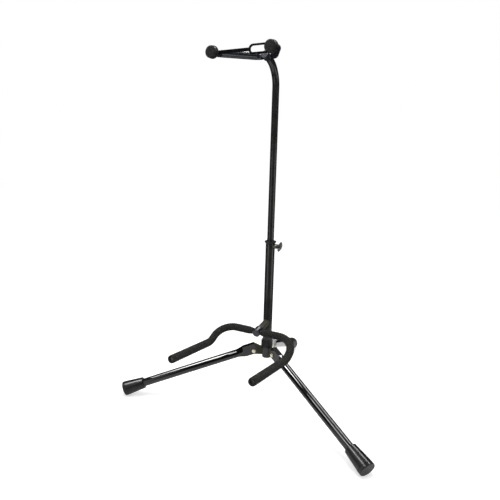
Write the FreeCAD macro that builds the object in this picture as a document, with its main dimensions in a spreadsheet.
import FreeCAD, Part
import math
import os
import types
import Sketcher

# Folding stand for a guitar: three legs, a telescopic mast, a padded cradle and a padded neck yoke.
# Frame: +Z up, the player's side is -Y, the origin is on the floor under the middle of the stand.
# Every number below is a length in millimetres, or an angle in degrees where its name ends in deg.
SIZES = {
    # Allowances between pieces
    "running_clearance": 0.05,
    "slide_clearance": 0.08,
    "rest_gap": 0.2,
    "side_gap": 0.3,
    "overrun": 5.0,
    # Directions in plan
    "front_heading_deg": -90.0,
    "leg_spacing_deg": 120.0,
    "rear_leg_turn_deg": 13.0,
    # Mast tubes
    "lower_tube_od": 22.0,
    "lower_tube_wall": 1.5,
    "lower_tube_top": 409.0,
    "tube_below_pivot": 14.0,
    "upper_tube_od": 16.0,
    "upper_tube_wall": 1.2,
    "plug_flange": 2.5,
    "plug_depth": 12.0,
    "plug_edge": 0.8,
    # Hub, ears and leg pivots
    "hub_od": 28.0,
    "hub_below_pivot": 9.0,
    "hub_above_pivot": 12.0,
    "hub_edge": 0.8,
    "pivot_radius": 33.0,
    "pivot_height": 133.0,
    "ear_width": 10.4,
    "ear_wall": 1.8,
    "ear_inner_start": 12.0,
    "ear_nose_radius": 16.6,
    "ear_below_pivot": 8.5,
    "ear_chin_radius": 8.0,
    "ear_peak_setback": 1.8,
    "ear_root_rise": 10.0,
    "rivet_od": 6.0,
    "rivet_head_od": 10.0,
    "rivet_head_height": 2.0,
    "rivet_head_round": 1.6,
    # Legs
    "leg_slope_deg": 20.2,
    "leg_tube_od": 20.0,
    "leg_tube_wall": 1.2,
    "leg_axis_rise": 5.0,
    "channel_web": 1.2,
    "channel_back": 8.0,
    "channel_front": 22.0,
    "channel_below_pivot": 8.0,
    "taper_end": 42.0,
    # Boots
    "boot_length": 55.0,
    "boot_inner_end_od": 28.0,
    "boot_outer_end_od": 36.0,
    "boot_end_wall": 6.0,
    "boot_lip_round": 1.2,
    "boot_end_round": 1.6,
    "boot_band_length": 7.0,
    "boot_groove_width": 1.2,
    "boot_groove_depth": 0.8,
    "boot_flat_depth": 0.6,
    # Lock nut over the hub
    "nut_height": 16.0,
    "nut_od": 28.6,
    "nut_round": 1.4,
    "nut_neck_od": 24.4,
    "nut_neck_height": 3.4,
    "nut_neck_round": 0.8,
    "nut_flutes": 8,
    "nut_flute_radius": 2.4,
    "nut_flute_depth": 1.2,
    # Cradle
    "cradle_forward": 55.0,
    "cradle_height": 200.0,
    "cradle_dip_deg": 30.0,
    "cradle_rise_deg": 4.0,
    "cradle_rod_od": 9.0,
    "foam_od": 19.0,
    "foam_start": 10.4,
    "cradle_half_width": 100.0,
    "cradle_bend_radius": 43.0,
    "cradle_step": 4.0,
    "cradle_knee_radius": 42.0,
    "cradle_arm_length": 165.0,
    "rod_recess": 4.0,
    "stub_od": 16.0,
    "stub_wall": 1.5,
    "stub_dip_deg": 12.0,
    "stub_past_rod": 6.5,
    "collar_od": 20.0,
    "collar_back": 12.0,
    "collar_end_wall": 2.5,
    "collar_back_round": 0.8,
    "collar_front_round": 2.0,
    # Height clutch
    "bushing_length": 48.0,
    "bushing_seat_od": 22.8,
    "bushing_flange_od": 28.0,
    "bushing_taper": 4.0,
    "bushing_flange_height": 1.6,
    "bushing_flange_round": 0.6,
    "bushing_neck_od": 18.6,
    "bushing_neck_height": 2.6,
    "bolt_drop": 6.0,
    "boss_od": 11.0,
    "boss_reach": 18.0,
    "boss_step": 13.8,
    "bolt_od": 6.0,
    "bolt_reach": 23.0,
    "shoe_od": 6.8,
    "shoe_reach": 10.65,
    "wing_gap": 0.6,
    "wing_hub_od": 9.6,
    "wing_hub_end": 26.5,
    "wing_hub_round": 1.2,
    "wing_span": 31.0,
    "wing_root": 9.0,
    "wing_inner": 20.2,
    "wing_outer": 30.2,
    "wing_thickness": 3.4,
    "wing_tip_round": 1.8,
    "wing_roll_deg": -41.0,
    # Upper tube and its guide
    "guide_headroom": 30.0,
    "guide_height": 6.0,
    "guide_od": 18.8,
    "guide_edge": 0.8,
    "guide_spigot": 14.0,
    "neck_corner_height": 484.5,
    "neck_bend_radius": 62.0,
    "neck_bend_deg": 75.0,
    "neck_tail": 13.0,
    "yoke_setback": 7.0,
    # Neck yoke
    "yoke_rise_deg": -1.0,
    "yoke_rod_od": 8.0,
    "yoke_collar_od": 19.0,
    "yoke_collar_back": 5.8,
    "yoke_root_half_width": 20.0,
    "yoke_root_radius": 14.0,
    "yoke_shoulder_forward": 88.0,
    "yoke_half_width": 67.0,
    "yoke_shoulder_radius": 25.0,
    "yoke_rod_tip": 115.0,
    "sleeve_od": 15.0,
    "sleeve_start": 10.2,
    "sleeve_end": 101.0,
    "knob_neck_od": 12.0,
    "knob_neck_length": 6.5,
    "knob_ring_od": 26.0,
    "knob_ring_length": 7.0,
    "knob_ring_back_round": 3.0,
    "knob_ring_front_round": 1.6,
    "knob_groove_od": 22.0,
    "knob_groove_width": 1.2,
    "knob_disc_od": 24.8,
    "knob_disc_length": 7.0,
    "knob_disc_back_round": 1.0,
    "knob_disc_front_round": 2.6,
    # Strap across the yoke
    "strap_forward": 102.6,
    "strap_thickness": 2.8,
    "strap_height": 6.6,
    "strap_eye_od": 18.0,
    "strap_loop_height": 19.4,
    "strap_loop_length": 64.0,
    "strap_loop_round": 9.2,
    "strap_slot_round": 5.9,
}

doc = FreeCAD.newDocument("guitar_stand")
sheet = doc.addObject("Spreadsheet::Sheet", "Sizes")
for row, (name, number) in enumerate(SIZES.items(), start=1):
    sheet.set("A%d" % row, name)
    sheet.set("B%d" % row, str(number))
    sheet.setAlias("B%d" % row, name)
doc.recompute()


class Size:
    """A named size, or a formula of named sizes: its value and the same formula as an expression."""

    def __init__(self, value, text):
        self.value = value
        self.text = text

    def __add__(self, other):
        return Size(self.value + other.value, "(%s + %s)" % (self.text, other.text))

    def __sub__(self, other):
        return Size(self.value - other.value, "(%s - %s)" % (self.text, other.text))

    def __neg__(self):
        return Size(-self.value, "(-1 * %s)" % self.text)

    def __mul__(self, other):
        if isinstance(other, Size):
            return Size(self.value * other.value, "(%s * %s)" % (self.text, other.text))
        return Size(self.value * other, "(%s * %d)" % (self.text, other))

    def __truediv__(self, other):
        if isinstance(other, Size):
            return Size(self.value / other.value, "(%s / %s)" % (self.text, other.text))
        return Size(self.value / other, "(%s / %d)" % (self.text, other))


def sine(angle):
    return Size(math.sin(math.radians(angle.value)), "sin(%s)" % angle.text)


def cosine(angle):
    return Size(math.cos(math.radians(angle.value)), "cos(%s)" % angle.text)


def tangent(angle):
    return Size(math.tan(math.radians(angle.value)), "tan(%s)" % angle.text)


def root(number):
    return Size(math.sqrt(number.value), "sqrt(%s)" % number.text)


ZERO = Size(0.0, "0")
ONE = Size(1.0, "1")
RIGHT_ANGLE = Size(90.0, "90")
HALF_TURN = Size(180.0, "180")
d = types.SimpleNamespace(**{name: Size(float(number), "Sizes." + name) for name, number in SIZES.items()})
nodes = []


def new_body(name):
    body = doc.addObject("PartDesign::Body", name)
    body.Label = name
    nodes.append(body)
    return body


def place(body, east, north, up, yaw=ZERO, pitch=ZERO, roll=ZERO):
    position = "vector(%s; %s; %s)" % (east.text, north.text, up.text)
    turn = "rotation(%s; %s; %s)" % (yaw.text, pitch.text, roll.text)
    body.setExpression("Placement", "placement(%s; %s)" % (position, turn))


def new_sketch(body, plane, lift=ZERO, along=ZERO, across=ZERO):
    """A sketch on one of the body's own planes, lifted off it and shifted in it."""
    sketch = body.newObject("Sketcher::SketchObject", body.Name + "_sketch")
    face = [item for item in body.Origin.OriginFeatures if item.Role == plane][0]
    sketch.AttachmentSupport = [(face, "")]
    sketch.MapMode = "FlatFace"
    sketch.setExpression("AttachmentOffset.Base.x", along.text)
    sketch.setExpression("AttachmentOffset.Base.y", across.text)
    sketch.setExpression("AttachmentOffset.Base.z", lift.text)
    return sketch


def hold(sketch, kind, geometry, size):
    """Add a sized constraint and bind it to the formula of its size."""
    index = sketch.addConstraint(Sketcher.Constraint(kind, *geometry, size.value))
    sketch.setExpression("Constraints[%d]" % index, size.text)


def pin(sketch, item, spot, across, up):
    """Hold one point of a sketch at its two coordinates."""
    if across is ZERO and up is ZERO:
        sketch.addConstraint(Sketcher.Constraint("Coincident", item, spot, -1, 1))
        return
    if across is ZERO:
        sketch.addConstraint(Sketcher.Constraint("PointOnObject", item, spot, -2))
    else:
        hold(sketch, "DistanceX", (-1, 1, item, spot), across)
    if up is ZERO:
        sketch.addConstraint(Sketcher.Constraint("PointOnObject", item, spot, -1))
    else:
        hold(sketch, "DistanceY", (-1, 1, item, spot), up)


def outline(sketch, corners, closed=True):
    """Straight edges through the corners, with an arc at each corner that is given a radius."""
    count = len(corners)
    points = [FreeCAD.Vector(corner[0].value, corner[1].value, 0) for corner in corners]
    marks = []
    leaving = list(points)
    arriving = list(points)
    arcs = {}
    for i in range(count):
        mark = sketch.addGeometry(Part.Point(points[i]), True)
        pin(sketch, mark, 1, corners[i][0], corners[i][1])
        marks.append(mark)
        if len(corners[i]) < 3:
            continue
        radius = corners[i][2]
        back = (points[i - 1] - points[i]).normalize()
        ahead = (points[(i + 1) % count] - points[i]).normalize()
        half = back.getAngle(ahead) / 2
        arriving[i] = points[i] + back * (radius.value / math.tan(half))
        leaving[i] = points[i] + ahead * (radius.value / math.tan(half))
        centre = points[i] + (back + ahead).normalize() * (radius.value / math.sin(half))
        left_turn = back.cross(ahead).z < 0
        first, last = (arriving[i], leaving[i]) if left_turn else (leaving[i], arriving[i])
        start = math.atan2(first.y - centre.y, first.x - centre.x)
        end = math.atan2(last.y - centre.y, last.x - centre.x)
        circle = Part.Circle(centre, FreeCAD.Vector(0, 0, 1), radius.value)
        arc = sketch.addGeometry(Part.ArcOfCircle(circle, start, end if end > start else end + math.tau))
        arcs[i] = (arc, 1 if left_turn else 2, 2 if left_turn else 1)
    lines = []
    for i in range(count if closed else count - 1):
        after = (i + 1) % count
        line = sketch.addGeometry(Part.LineSegment(leaving[i], arriving[after]))
        lines.append(line)
        for end, corner in ((1, i), (2, after)):
            if corner in arcs:
                sketch.addConstraint(Sketcher.Constraint("PointOnObject", marks[corner], 1, line))
            else:
                sketch.addConstraint(Sketcher.Constraint("Coincident", line, end, marks[corner], 1))
    for i, (arc, near, far) in arcs.items():
        sketch.addConstraint(Sketcher.Constraint("Tangent", lines[i - 1], 2, arc, near))
        sketch.addConstraint(Sketcher.Constraint("Tangent", lines[i], 1, arc, far))
        hold(sketch, "Radius", (arc,), corners[i][2])


def ring(sketch, radius, across=ZERO, up=ZERO):
    """A full circle."""
    centre = FreeCAD.Vector(across.value, up.value, 0)
    circle = sketch.addGeometry(Part.Circle(centre, FreeCAD.Vector(0, 0, 1), radius.value))
    pin(sketch, circle, 3, across, up)
    hold(sketch, "Radius", (circle,), radius)


def quartered_ring(sketch, radius):
    """A circle in four arcs that meet on the diagonals, so that a loft can join it to a rectangle."""
    share = radius / root(ONE + ONE)
    corners = [(share, -share), (share, share), (-share, share), (-share, -share)]
    marks = []
    for across, up in corners:
        mark = sketch.addGeometry(Part.Point(FreeCAD.Vector(across.value, up.value, 0)), True)
        pin(sketch, mark, 1, across, up)
        marks.append(mark)
    circle = Part.Circle(FreeCAD.Vector(0, 0, 0), FreeCAD.Vector(0, 0, 1), radius.value)
    for quarter in range(4):
        start = (2 * quarter - 1) * math.pi / 4
        arc = sketch.addGeometry(Part.ArcOfCircle(circle, start, start + math.pi / 2))
        sketch.addConstraint(Sketcher.Constraint("Coincident", arc, 1, marks[quarter], 1))
        sketch.addConstraint(Sketcher.Constraint("Coincident", arc, 2, marks[(quarter + 1) % 4], 1))
        hold(sketch, "Radius", (arc,), radius)


def feature(body, kind, sketch):
    item = body.newObject("PartDesign::" + kind, body.Name + "_" + kind.lower())
    item.Profile = sketch
    sketch.Visibility = False
    return item


def pad(body, sketch, length, both_ways=False):
    item = feature(body, "Pad", sketch)
    item.setExpression("Length", length.text)
    item.Midplane = both_ways
    return item


def cut_through(body, sketch):
    item = feature(body, "Pocket", sketch)
    item.Type = "ThroughAll"
    item.Midplane = True
    return item


def cut_depth(body, sketch, depth, reverse=False):
    item = feature(body, "Pocket", sketch)
    item.setExpression("Length", depth.text)
    item.Reversed = reverse
    return item


def revolve(body, sketch, axis):
    item = feature(body, "Revolution", sketch)
    item.ReferenceAxis = (sketch, [axis])
    item.Angle = 360
    return item


def pipe(body, kind, profile, path):
    item = feature(body, kind, profile)
    item.Spine = path
    path.Visibility = False
    return item


def loft(body, kind, first, last):
    item = feature(body, kind, first)
    item.Sections = [last]
    item.Ruled = True
    last.Visibility = False
    return item


# Radii and positions that several pieces share
lower_tube_radius = d.lower_tube_od / 2
lower_tube_bore = lower_tube_radius - d.lower_tube_wall
upper_tube_radius = d.upper_tube_od / 2
upper_tube_bore = upper_tube_radius - d.upper_tube_wall
hub_radius = d.hub_od / 2
leg_tube_radius = d.leg_tube_od / 2
leg_tube_bore = leg_tube_radius - d.leg_tube_wall
slope = d.leg_slope_deg
boot_radius = d.boot_outer_end_od / 2
boot_corner = d.boot_end_round
leg_reach = boot_corner + (d.pivot_height + d.leg_axis_rise * cosine(slope) + d.boot_flat_depth
                           - (boot_radius - boot_corner) * cosine(slope) - boot_corner) / sine(slope)
channel_top = d.ear_nose_radius + d.rest_gap + d.channel_web
channel_width = d.ear_width + (d.side_gap + d.channel_web) * 2
channel_middle = (channel_top - d.channel_below_pivot) / 2
channel_half_height = (channel_top + d.channel_below_pivot) / 2

leg_headings = {
    "left": d.front_heading_deg - d.leg_spacing_deg / 2,
    "right": d.front_heading_deg + d.leg_spacing_deg / 2,
    "rear": d.front_heading_deg + HALF_TURN + d.rear_leg_turn_deg,
}

# Heights along the mast
tube_foot = d.pivot_height - d.tube_below_pivot
hub_foot = d.pivot_height - d.hub_below_pivot
hub_top = d.pivot_height + d.hub_above_pivot
bolt_height = d.lower_tube_top - d.bolt_drop
guide_top = d.lower_tube_top - d.bushing_length - d.guide_headroom

# The cradle dips from its stub to a knee, then its arms rise a little to their tips
knee_turn = d.cradle_dip_deg + d.cradle_rise_deg
knee_set = d.cradle_knee_radius * tangent(knee_turn / 2)
knee_joint = d.cradle_bend_radius + d.cradle_step / 2
knee_forward = d.cradle_bend_radius + d.cradle_step + knee_set

# The stand is centred over its length: from the rear boot to the tip of the cradle
front_reach = (d.cradle_forward + knee_forward * cosine(d.cradle_dip_deg)
               + d.cradle_arm_length * cosine(d.cradle_rise_deg)
               + d.foam_od / 2 * sine(d.cradle_rise_deg))
rear_share = sine(leg_headings["rear"])
rear_along = rear_share * cosine(slope)
rear_reach = ((d.pivot_radius + d.leg_axis_rise * sine(slope)) * rear_share
              + (leg_reach - boot_corner) * rear_along
              + (boot_radius - boot_corner) * root(ONE - rear_along * rear_along) + boot_corner)
mast_y = (front_reach - rear_reach) / 2

# Lower tube, with the bolt's hole near its top
body = new_body("lower_tube")
place(body, ZERO, mast_y, ZERO)
sketch = new_sketch(body, "XZ_Plane")
outline(sketch, [
    (lower_tube_bore, tube_foot),
    (lower_tube_radius, tube_foot),
    (lower_tube_radius, d.lower_tube_top),
    (lower_tube_bore, d.lower_tube_top),
])
revolve(body, sketch, "V_Axis")
shoe_hole = d.shoe_od / 2 + d.side_gap
sketch = new_sketch(body, "YZ_Plane")
ring(sketch, shoe_hole, ZERO, bolt_height)
cut_depth(body, sketch, lower_tube_radius + d.overrun, reverse=True)

# Plug that closes the foot of the lower tube
body = new_body("tube_plug")
place(body, ZERO, mast_y, ZERO)
sketch = new_sketch(body, "XZ_Plane")
outline(sketch, [
    (ZERO, tube_foot - d.plug_flange),
    (lower_tube_radius, tube_foot - d.plug_flange, d.plug_edge),
    (lower_tube_radius, tube_foot),
    (lower_tube_bore, tube_foot),
    (lower_tube_bore, tube_foot + d.plug_depth, d.plug_edge),
    (ZERO, tube_foot + d.plug_depth),
])
revolve(body, sketch, "V_Axis")

# Hub sleeve that carries the three ears
body = new_body("hub_sleeve")
place(body, ZERO, mast_y, ZERO)
sketch = new_sketch(body, "XZ_Plane")
outline(sketch, [
    (lower_tube_radius, hub_foot),
    (hub_radius, hub_foot, d.hub_edge),
    (hub_radius, hub_top, d.hub_edge),
    (lower_tube_radius, hub_top),
])
revolve(body, sketch, "V_Axis")

# Lock nut: a fluted ring with a smaller neck
nut_foot = hub_top + d.rest_gap
nut_bore = lower_tube_radius + d.slide_clearance
body = new_body("lock_nut")
place(body, ZERO, mast_y, ZERO)
sketch = new_sketch(body, "XZ_Plane")
outline(sketch, [
    (nut_bore, nut_foot),
    (d.nut_od / 2, nut_foot, d.nut_round),
    (d.nut_od / 2, nut_foot + d.nut_height, d.nut_round),
    (d.nut_neck_od / 2, nut_foot + d.nut_height),
    (d.nut_neck_od / 2, nut_foot + d.nut_height + d.nut_neck_height, d.nut_neck_round),
    (nut_bore, nut_foot + d.nut_height + d.nut_neck_height),
])
revolve(body, sketch, "V_Axis")
sketch = new_sketch(body, "XY_Plane", lift=nut_foot)
ring(sketch, d.nut_flute_radius, d.nut_od / 2 + d.nut_flute_radius - d.nut_flute_depth, ZERO)
flute = cut_through(body, sketch)
flutes = body.newObject("PartDesign::PolarPattern", "lock_nut_flutes")
flutes.Originals = [flute]
flutes.Axis = ([item for item in body.Origin.OriginFeatures if item.Role == "Z_Axis"][0], [""])
flutes.Angle = 360
flutes.setExpression("Occurrences", d.nut_flutes.text)
body.Tip = flutes

for side, heading in leg_headings.items():
    east = d.pivot_radius * cosine(heading)
    north = mast_y + d.pivot_radius * sine(heading)

    # Ear: a pressed channel, open below, coped to the hub sleeve
    nose = d.ear_nose_radius
    inner_nose = d.ear_nose_radius - d.ear_wall
    peak = d.pivot_radius - d.ear_peak_setback
    nose_corner = (ONE - sine(slope)) / cosine(slope)
    peak_lift = d.ear_peak_setback * sine(slope)
    body = new_body(side + "_ear")
    place(body, ZERO, mast_y, d.pivot_height, heading)
    sketch = new_sketch(body, "XZ_Plane")
    outline(sketch, [
        (d.ear_inner_start, -d.ear_below_pivot),
        (d.pivot_radius + nose, -d.ear_below_pivot, d.ear_chin_radius),
        (d.pivot_radius + nose, nose * nose_corner, nose),
        (peak, (nose + peak_lift) / cosine(slope)),
        (d.ear_inner_start, d.ear_root_rise),
    ])
    pad(body, sketch, d.ear_width, both_ways=True)
    sketch = new_sketch(body, "XZ_Plane")
    outline(sketch, [
        (d.ear_inner_start - d.overrun, -d.ear_below_pivot - d.overrun),
        (d.pivot_radius + inner_nose, -d.ear_below_pivot - d.overrun),
        (d.pivot_radius + inner_nose, inner_nose * nose_corner, inner_nose),
        (peak, (inner_nose + peak_lift) / cosine(slope)),
        (d.ear_inner_start - d.overrun, d.ear_root_rise - d.ear_wall * 2),
    ])
    item = feature(body, "Pocket", sketch)
    item.setExpression("Length", (d.ear_width - d.ear_wall * 2).text)
    item.Midplane = True
    sketch = new_sketch(body, "XY_Plane")
    ring(sketch, hub_radius)
    cut_through(body, sketch)
    sketch = new_sketch(body, "XZ_Plane")
    ring(sketch, d.rivet_od / 2, d.pivot_radius, ZERO)
    cut_through(body, sketch)

    # Rivet: a pin with two domed heads across the leg's channel
    head_face = channel_width / 2 + d.rest_gap
    head_end = head_face + d.rivet_head_height
    body = new_body(side + "_rivet")
    place(body, east, north, d.pivot_height, heading)
    sketch = new_sketch(body, "XY_Plane")
    outline(sketch, [
        (ZERO, -head_end),
        (d.rivet_head_od / 2, -head_end, d.rivet_head_round),
        (d.rivet_head_od / 2, -head_face),
        (d.rivet_od / 2, -head_face),
        (d.rivet_od / 2, head_face),
        (d.rivet_head_od / 2, head_face),
        (d.rivet_head_od / 2, head_end, d.rivet_head_round),
        (ZERO, head_end),
    ])
    revolve(body, sketch, "V_Axis")

    # Leg: a pressed channel that opens into a round tube
    body = new_body(side + "_leg")
    place(body, east, north, d.pivot_height, heading, slope)
    sketch = new_sketch(body, "YZ_Plane", lift=-d.channel_back)
    outline(sketch, [
        (-channel_width / 2, -d.channel_below_pivot),
        (channel_width / 2, -d.channel_below_pivot),
        (channel_width / 2, channel_top),
        (-channel_width / 2, channel_top),
    ])
    pad(body, sketch, d.channel_back + d.channel_front)
    first = new_sketch(body, "YZ_Plane", lift=d.channel_front, across=channel_middle)
    outline(first, [
        (-channel_width / 2, -channel_half_height),
        (channel_width / 2, -channel_half_height),
        (channel_width / 2, channel_half_height),
        (-channel_width / 2, channel_half_height),
    ])
    last = new_sketch(body, "YZ_Plane", lift=d.taper_end, across=d.leg_axis_rise)
    quartered_ring(last, leg_tube_radius)
    loft(body, "AdditiveLoft", first, last)
    sketch = new_sketch(body, "YZ_Plane", lift=d.taper_end, across=d.leg_axis_rise)
    ring(sketch, leg_tube_radius)
    pad(body, sketch, leg_reach - d.boot_end_wall - d.taper_end)
    inner_half = channel_width / 2 - d.channel_web
    sketch = new_sketch(body, "YZ_Plane", lift=-d.channel_back - d.overrun)
    outline(sketch, [
        (-inner_half, -d.channel_below_pivot - d.overrun),
        (inner_half, -d.channel_below_pivot - d.overrun),
        (inner_half, channel_top - d.channel_web),
        (-inner_half, channel_top - d.channel_web),
    ])
    cut_depth(body, sketch, d.channel_back + d.overrun + d.channel_front, reverse=True)
    first = new_sketch(body, "YZ_Plane", lift=d.channel_front, across=channel_middle)
    outline(first, [
        (-inner_half, -channel_half_height + d.channel_web),
        (inner_half, -channel_half_height + d.channel_web),
        (inner_half, channel_half_height - d.channel_web),
        (-inner_half, channel_half_height - d.channel_web),
    ])
    last = new_sketch(body, "YZ_Plane", lift=d.taper_end, across=d.leg_axis_rise)
    quartered_ring(last, leg_tube_bore)
    loft(body, "SubtractiveLoft", first, last)
    sketch = new_sketch(body, "YZ_Plane", lift=d.taper_end, across=d.leg_axis_rise)
    ring(sketch, leg_tube_bore)
    cut_depth(body, sketch, leg_reach - d.taper_end, reverse=True)
    sketch = new_sketch(body, "XZ_Plane")
    ring(sketch, d.rivet_od / 2 + d.running_clearance)
    cut_through(body, sketch)

    # Boot: a tapered cup over the end of the leg, with a flat that rests on the floor
    boot_start = leg_reach - d.boot_length
    band_start = leg_reach - d.boot_band_length
    body = new_body(side + "_boot")
    place(body, east, north, d.pivot_height, heading, slope)
    sketch = new_sketch(body, "XZ_Plane", across=d.leg_axis_rise)
    outline(sketch, [
        (boot_start, leg_tube_radius),
        (boot_start, d.boot_inner_end_od / 2, d.boot_lip_round),
        (band_start - d.boot_groove_width, boot_radius),
        (band_start - d.boot_groove_width, boot_radius - d.boot_groove_depth),
        (band_start, boot_radius - d.boot_groove_depth),
        (band_start, boot_radius),
        (leg_reach, boot_radius, boot_corner),
        (leg_reach, ZERO),
        (leg_reach - d.boot_end_wall, ZERO),
        (leg_reach - d.boot_end_wall, leg_tube_radius),
    ])
    revolve(body, sketch, "H_Axis")
    floor_start = (boot_start * sine(slope) - d.pivot_height) / cosine(slope)
    floor_end = ((leg_reach + d.overrun) * sine(slope) - d.pivot_height) / cosine(slope)
    sketch = new_sketch(body, "XZ_Plane")
    outline(sketch, [
        (boot_start, floor_start),
        (boot_start, floor_start - d.overrun),
        (leg_reach + d.overrun, floor_start - d.overrun),
        (leg_reach + d.overrun, floor_end),
    ])
    cut_through(body, sketch)

# Cradle stub: a short tube, coped to the mast, with the rod through its end
body = new_body("cradle_stub")
stub_back = d.cradle_forward / cosine(d.stub_dip_deg)
place(body, ZERO, mast_y - d.cradle_forward, d.cradle_height, d.front_heading_deg, d.stub_dip_deg)
sketch = new_sketch(body, "YZ_Plane", lift=-stub_back)
ring(sketch, d.stub_od / 2)
ring(sketch, d.stub_od / 2 - d.stub_wall)
pad(body, sketch, stub_back + d.stub_past_rod)
sketch = new_sketch(body, "XY_Plane")
upright = "rotation(0; %s; 0)" % (-d.stub_dip_deg).text
sketch.setExpression("AttachmentOffset.Base.x", None)
sketch.setExpression("AttachmentOffset.Base.y", None)
sketch.setExpression("AttachmentOffset.Base.z", None)
sketch.setExpression("AttachmentOffset", "placement(vector(%s; 0; 0); %s)" % ((-stub_back).text, upright))
ring(sketch, lower_tube_radius)
cut_through(body, sketch)
sketch = new_sketch(body, "XZ_Plane")
ring(sketch, d.cradle_rod_od / 2)
cut_through(body, sketch)

# Cradle collar: a cap over the junction of stub and rod
body = new_body("cradle_collar")
place(body, ZERO, mast_y - d.cradle_forward, d.cradle_height, d.front_heading_deg, d.stub_dip_deg)
sketch = new_sketch(body, "XZ_Plane")
outline(sketch, [
    (-d.collar_back, d.stub_od / 2),
    (-d.collar_back, d.collar_od / 2, d.collar_back_round),
    (d.stub_past_rod + d.collar_end_wall, d.collar_od / 2, d.collar_front_round),
    (d.stub_past_rod + d.collar_end_wall, ZERO),
    (d.stub_past_rod, ZERO),
    (d.stub_past_rod, d.stub_od / 2),
])
revolve(body, sketch, "H_Axis")
sketch = new_sketch(body, "XZ_Plane")
ring(sketch, d.cradle_rod_od / 2)
cut_through(body, sketch)


def cradle_arm(body, hand, radii, start, end):
    """Sweep one half of the cradle: out and forward in the dipping plane, then up over the knee."""
    reach = d.cradle_arm_length - end
    path = new_sketch(body, "XY_Plane")
    outline(path, [
        (ZERO, start * hand),
        (ZERO, d.cradle_half_width * hand, d.cradle_bend_radius),
        (knee_joint, d.cradle_half_width * hand),
    ], closed=False)
    sketch = new_sketch(body, "XZ_Plane", lift=-start * hand)
    for radius in radii:
        ring(sketch, radius)
    pipe(body, "AdditivePipe", sketch, path)
    path = new_sketch(body, "XZ_Plane", lift=-d.cradle_half_width * hand)
    outline(path, [
        (knee_joint, ZERO),
        (knee_forward, ZERO, d.cradle_knee_radius),
        (knee_forward + reach * cosine(knee_turn), reach * sine(knee_turn)),
    ], closed=False)
    sketch = new_sketch(body, "YZ_Plane", lift=knee_joint, along=d.cradle_half_width * hand)
    for radius in radii:
        ring(sketch, radius)
    pipe(body, "AdditivePipe", sketch, path)


# Cradle rod: one bent rod, the same on both sides of the stub
body = new_body("cradle_rod")
place(body, ZERO, mast_y - d.cradle_forward, d.cradle_height, d.front_heading_deg, d.cradle_dip_deg)
for hand in (1, -1):
    cradle_arm(body, hand, [d.cradle_rod_od / 2], ZERO, d.rod_recess)

# Foam sleeves over the two arms of the cradle rod
for side, hand in (("left", -1), ("right", 1)):
    body = new_body(side + "_cradle_foam")
    place(body, ZERO, mast_y - d.cradle_forward, d.cradle_height, d.front_heading_deg, d.cradle_dip_deg)
    cradle_arm(body, hand, [d.foam_od / 2, d.cradle_rod_od / 2], d.foam_start, ZERO)

# Height bushing: a liner in the top of the lower tube, with a flared flange and a neck ring
bushing_bore = upper_tube_radius + d.slide_clearance
flare = d.lower_tube_top + d.bushing_taper
flange_top = flare + d.bushing_flange_height
body = new_body("height_bushing")
place(body, ZERO, mast_y, ZERO)
sketch = new_sketch(body, "XZ_Plane")
outline(sketch, [
    (bushing_bore, d.lower_tube_top - d.bushing_length),
    (lower_tube_bore, d.lower_tube_top - d.bushing_length),
    (lower_tube_bore, d.lower_tube_top),
    (d.bushing_seat_od / 2, d.lower_tube_top),
    (d.bushing_flange_od / 2, flare, d.bushing_flange_round),
    (d.bushing_flange_od / 2, flange_top, d.bushing_flange_round),
    (d.bushing_neck_od / 2, flange_top),
    (d.bushing_neck_od / 2, flange_top + d.bushing_neck_height),
    (bushing_bore, flange_top + d.bushing_neck_height),
])
revolve(body, sketch, "V_Axis")
sketch = new_sketch(body, "YZ_Plane")
ring(sketch, shoe_hole, ZERO, bolt_height)
cut_depth(body, sketch, lower_tube_radius, reverse=True)

# Bolt boss: a short round seat for the wing bolt on the side of the lower tube
body = new_body("bolt_boss")
place(body, ZERO, mast_y, bolt_height)
sketch = new_sketch(body, "YZ_Plane")
ring(sketch, d.boss_od / 2)
pad(body, sketch, d.boss_reach)
sketch = new_sketch(body, "XY_Plane")
ring(sketch, lower_tube_radius)
cut_through(body, sketch)
sketch = new_sketch(body, "YZ_Plane")
ring(sketch, shoe_hole)
cut_depth(body, sketch, d.boss_step, reverse=True)
sketch = new_sketch(body, "YZ_Plane")
ring(sketch, d.bolt_od / 2 + d.running_clearance)
cut_depth(body, sketch, d.boss_reach + d.overrun, reverse=True)

# Brake shoe: a small pad with a hollow face that grips the upper tube
body = new_body("brake_shoe")
place(body, ZERO, mast_y, bolt_height)
sketch = new_sketch(body, "YZ_Plane")
ring(sketch, d.shoe_od / 2)
pad(body, sketch, d.shoe_reach)
sketch = new_sketch(body, "XY_Plane")
ring(sketch, upper_tube_radius + d.rest_gap)
cut_through(body, sketch)

# Wing screw: the bolt's shank, from the shoe into the wing head
bolt_start = d.shoe_reach + d.rest_gap
body = new_body("wing_screw")
place(body, ZERO, mast_y, bolt_height, ZERO, ZERO, d.wing_roll_deg)
sketch = new_sketch(body, "YZ_Plane", lift=bolt_start)
ring(sketch, d.bolt_od / 2)
pad(body, sketch, d.bolt_reach - bolt_start)

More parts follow.
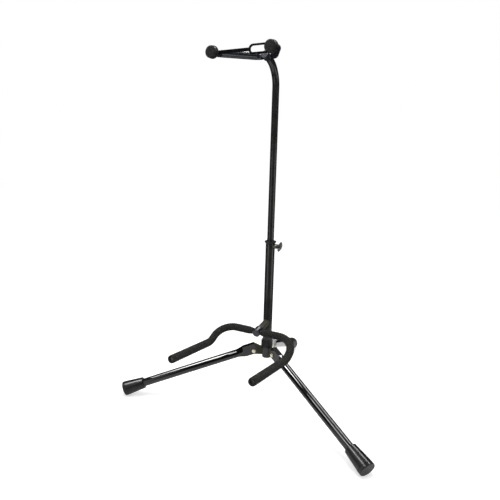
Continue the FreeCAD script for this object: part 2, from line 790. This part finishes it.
# Wing head: a round hub with one flat blade across it, pointed at both ends
body = new_body("wing_head")
place(body, ZERO, mast_y, bolt_height, ZERO, ZERO, d.wing_roll_deg)
wing_hub_start = d.boss_reach + d.wing_gap
wing_middle = (d.wing_inner + d.wing_outer) / 2
sketch = new_sketch(body, "XZ_Plane")
outline(sketch, [
    (wing_hub_start, ZERO),
    (wing_hub_start, d.wing_hub_od / 2),
    (d.wing_hub_end, d.wing_hub_od / 2, d.wing_hub_round),
    (d.wing_hub_end, ZERO),
])
revolve(body, sketch, "H_Axis")
sketch = new_sketch(body, "XZ_Plane")
outline(sketch, [
    (d.wing_inner, -d.wing_root / 2),
    (wing_middle, -d.wing_span / 2, d.wing_tip_round),
    (d.wing_outer, -d.wing_root / 2),
    (d.wing_outer, d.wing_root / 2),
    (wing_middle, d.wing_span / 2, d.wing_tip_round),
    (d.wing_inner, d.wing_root / 2),
])
pad(body, sketch, d.wing_thickness, both_ways=True)
sketch = new_sketch(body, "YZ_Plane", lift=wing_hub_start)
ring(sketch, d.bolt_od / 2)
cut_depth(body, sketch, d.bolt_reach - wing_hub_start, reverse=True)

# Guide plug on the foot of the upper tube
body = new_body("guide_plug")
place(body, ZERO, mast_y, guide_top)
sketch = new_sketch(body, "XZ_Plane")
outline(sketch, [
    (ZERO, -d.guide_height),
    (d.guide_od / 2, -d.guide_height, d.guide_edge),
    (d.guide_od / 2, ZERO),
    (upper_tube_bore - d.slide_clearance, ZERO),
    (upper_tube_bore - d.slide_clearance, d.guide_spigot, d.guide_edge),
    (ZERO, d.guide_spigot),
])
revolve(body, sketch, "V_Axis")

# Upper tube: upright, then bent forward, with the yoke rod's hole across its end
neck_foot = guide_top + d.rest_gap
bend_set = d.neck_bend_radius * tangent(d.neck_bend_deg / 2)
tail_end = bend_set + d.neck_tail
yoke_along = tail_end - d.yoke_setback
yoke_forward = yoke_along * sine(d.neck_bend_deg)
yoke_up = d.neck_corner_height + yoke_along * cosine(d.neck_bend_deg)
body = new_body("upper_tube")
place(body, ZERO, mast_y, neck_foot, d.front_heading_deg)
for kind, radius in (("AdditivePipe", upper_tube_radius), ("SubtractivePipe", upper_tube_bore)):
    path = new_sketch(body, "XZ_Plane")
    outline(path, [
        (ZERO, ZERO),
        (ZERO, d.neck_corner_height, d.neck_bend_radius),
        (tail_end * sine(d.neck_bend_deg), d.neck_corner_height + tail_end * cosine(d.neck_bend_deg)),
    ], closed=False)
    sketch = new_sketch(body, "XY_Plane")
    ring(sketch, radius)
    pipe(body, kind, sketch, path)
sketch = new_sketch(body, "XZ_Plane")
ring(sketch, d.yoke_rod_od / 2, yoke_forward, yoke_up)
cut_through(body, sketch)

# Yoke collar: a cap over the end of the upper tube
yoke_y = mast_y - yoke_forward
yoke_z = neck_foot + yoke_up
body = new_body("yoke_collar")
place(body, ZERO, yoke_y, yoke_z, d.front_heading_deg, d.neck_bend_deg - RIGHT_ANGLE)
sketch = new_sketch(body, "XZ_Plane")
outline(sketch, [
    (-d.yoke_collar_back, upper_tube_radius),
    (-d.yoke_collar_back, d.yoke_collar_od / 2, d.collar_back_round),
    (d.yoke_setback + d.collar_end_wall, d.yoke_collar_od / 2, d.collar_front_round),
    (d.yoke_setback + d.collar_end_wall, ZERO),
    (d.yoke_setback, ZERO),
    (d.yoke_setback, upper_tube_radius),
])
revolve(body, sketch, "H_Axis")
sketch = new_sketch(body, "XZ_Plane")
ring(sketch, d.yoke_rod_od / 2)
cut_through(body, sketch)

# Yoke rod: a wide fork through the end of the upper tube
body = new_body("yoke_rod")
place(body, ZERO, yoke_y, yoke_z, d.front_heading_deg, -d.yoke_rise_deg)
for hand in (1, -1):
    path = new_sketch(body, "XY_Plane")
    outline(path, [
        (ZERO, ZERO),
        (ZERO, d.yoke_root_half_width * hand, d.yoke_root_radius),
        (d.yoke_shoulder_forward, d.yoke_half_width * hand, d.yoke_shoulder_radius),
        (d.yoke_rod_tip, d.yoke_half_width * hand),
    ], closed=False)
    sketch = new_sketch(body, "XZ_Plane")
    ring(sketch, d.yoke_rod_od / 2)
    pipe(body, "AdditivePipe", sketch, path)

for side, hand in (("left", -1), ("right", 1)):
    # Sleeve over one arm of the yoke
    body = new_body(side + "_yoke_sleeve")
    place(body, ZERO, yoke_y, yoke_z, d.front_heading_deg, -d.yoke_rise_deg)
    path = new_sketch(body, "XY_Plane")
    outline(path, [
        (ZERO, d.sleeve_start * hand),
        (ZERO, d.yoke_root_half_width * hand, d.yoke_root_radius),
        (d.yoke_shoulder_forward, d.yoke_half_width * hand, d.yoke_shoulder_radius),
        (d.sleeve_end, d.yoke_half_width * hand),
    ], closed=False)
    sketch = new_sketch(body, "XZ_Plane", lift=-d.sleeve_start * hand)
    ring(sketch, d.sleeve_od / 2)
    ring(sketch, d.yoke_rod_od / 2)
    pipe(body, "AdditivePipe", sketch, path)

    # Knob at the tip of the arm: a neck, a rounded ring, a groove and a front disc
    ring_back = d.sleeve_end + d.knob_neck_length
    ring_front = ring_back + d.knob_ring_length
    disc_back = ring_front + d.knob_groove_width
    disc_front = disc_back + d.knob_disc_length
    body = new_body(side + "_yoke_knob")
    place(body, ZERO, yoke_y, yoke_z, d.front_heading_deg, -d.yoke_rise_deg)
    sketch = new_sketch(body, "XY_Plane", across=d.yoke_half_width * hand)
    outline(sketch, [
        (d.sleeve_end, d.yoke_rod_od / 2),
        (d.sleeve_end, d.knob_neck_od / 2),
        (ring_back, d.knob_neck_od / 2),
        (ring_back, d.knob_ring_od / 2, d.knob_ring_back_round),
        (ring_front, d.knob_ring_od / 2, d.knob_ring_front_round),
        (ring_front, d.knob_groove_od / 2),
        (disc_back, d.knob_groove_od / 2),
        (disc_back, d.knob_disc_od / 2, d.knob_disc_back_round),
        (disc_front, d.knob_disc_od / 2, d.knob_disc_front_round),
        (disc_front, ZERO),
        (d.yoke_rod_tip, ZERO),
        (d.yoke_rod_tip, d.yoke_rod_od / 2),
    ])
    revolve(body, sketch, "H_Axis")

# Neck strap: an eye round the left knob's neck, a band, and a slotted loop hooked on the right one
eye_radius = d.strap_eye_od / 2
slot_half = d.knob_neck_od / 2
loop_half = d.strap_loop_height / 2
loop_end = d.yoke_half_width + loop_half
loop_start = loop_end - d.strap_loop_length
loop_wall = loop_half - slot_half
eye_middle = (eye_radius + slot_half) / 2
body = new_body("neck_strap")
place(body, ZERO, yoke_y, yoke_z, d.front_heading_deg, -d.yoke_rise_deg)
sketch = new_sketch(body, "YZ_Plane", lift=d.strap_forward)
ring(sketch, eye_radius, -d.yoke_half_width, ZERO)
ring(sketch, slot_half, -d.yoke_half_width, ZERO)
pad(body, sketch, d.strap_thickness)
sketch = new_sketch(body, "YZ_Plane", lift=d.strap_forward)
outline(sketch, [
    (-d.yoke_half_width + eye_middle, -d.strap_height / 2),
    (loop_start + loop_wall / 2, -d.strap_height / 2),
    (loop_start + loop_wall / 2, d.strap_height / 2),
    (-d.yoke_half_width + eye_middle, d.strap_height / 2),
])
pad(body, sketch, d.strap_thickness)
sketch = new_sketch(body, "YZ_Plane", lift=d.strap_forward)
outline(sketch, [
    (loop_start, -loop_half, d.strap_loop_round),
    (loop_end, -loop_half, d.strap_loop_round),
    (loop_end, loop_half, d.strap_loop_round),
    (loop_start, loop_half, d.strap_loop_round),
])
outline(sketch, [
    (loop_start + loop_wall, -slot_half, d.strap_slot_round),
    (d.yoke_half_width + slot_half, -slot_half, d.strap_slot_round),
    (d.yoke_half_width + slot_half, slot_half, d.strap_slot_round),
    (loop_start + loop_wall, slot_half, d.strap_slot_round),
])
pad(body, sketch, d.strap_thickness)

doc.recompute()

# Nothing is written unless every feature and every solid is sound
faults = []
for item in doc.Objects:
    if any(word in item.State for word in ("Invalid", "Error")):
        faults.append("%s: %s" % (item.Name, item.State))
for body in nodes:
    if body.Shape.isNull() or not body.Shape.isValid() or len(body.Shape.Solids) != 1:
        faults.append("%s: shape" % body.Name)
if faults:
    raise RuntimeError("; ".join(faults))

os.makedirs("parts", exist_ok=True)
for body in nodes:
    body.Shape.exportStep(os.path.join("parts", body.Label + ".step"))
    box = body.Shape.BoundBox
    print("%-20s %8.1f mm3  x %7.1f %7.1f  y %7.1f %7.1f  z %6.1f %6.1f" % (
        body.Label, body.Shape.Volume, box.XMin, box.XMax, box.YMin, box.YMax, box.ZMin, box.ZMax))
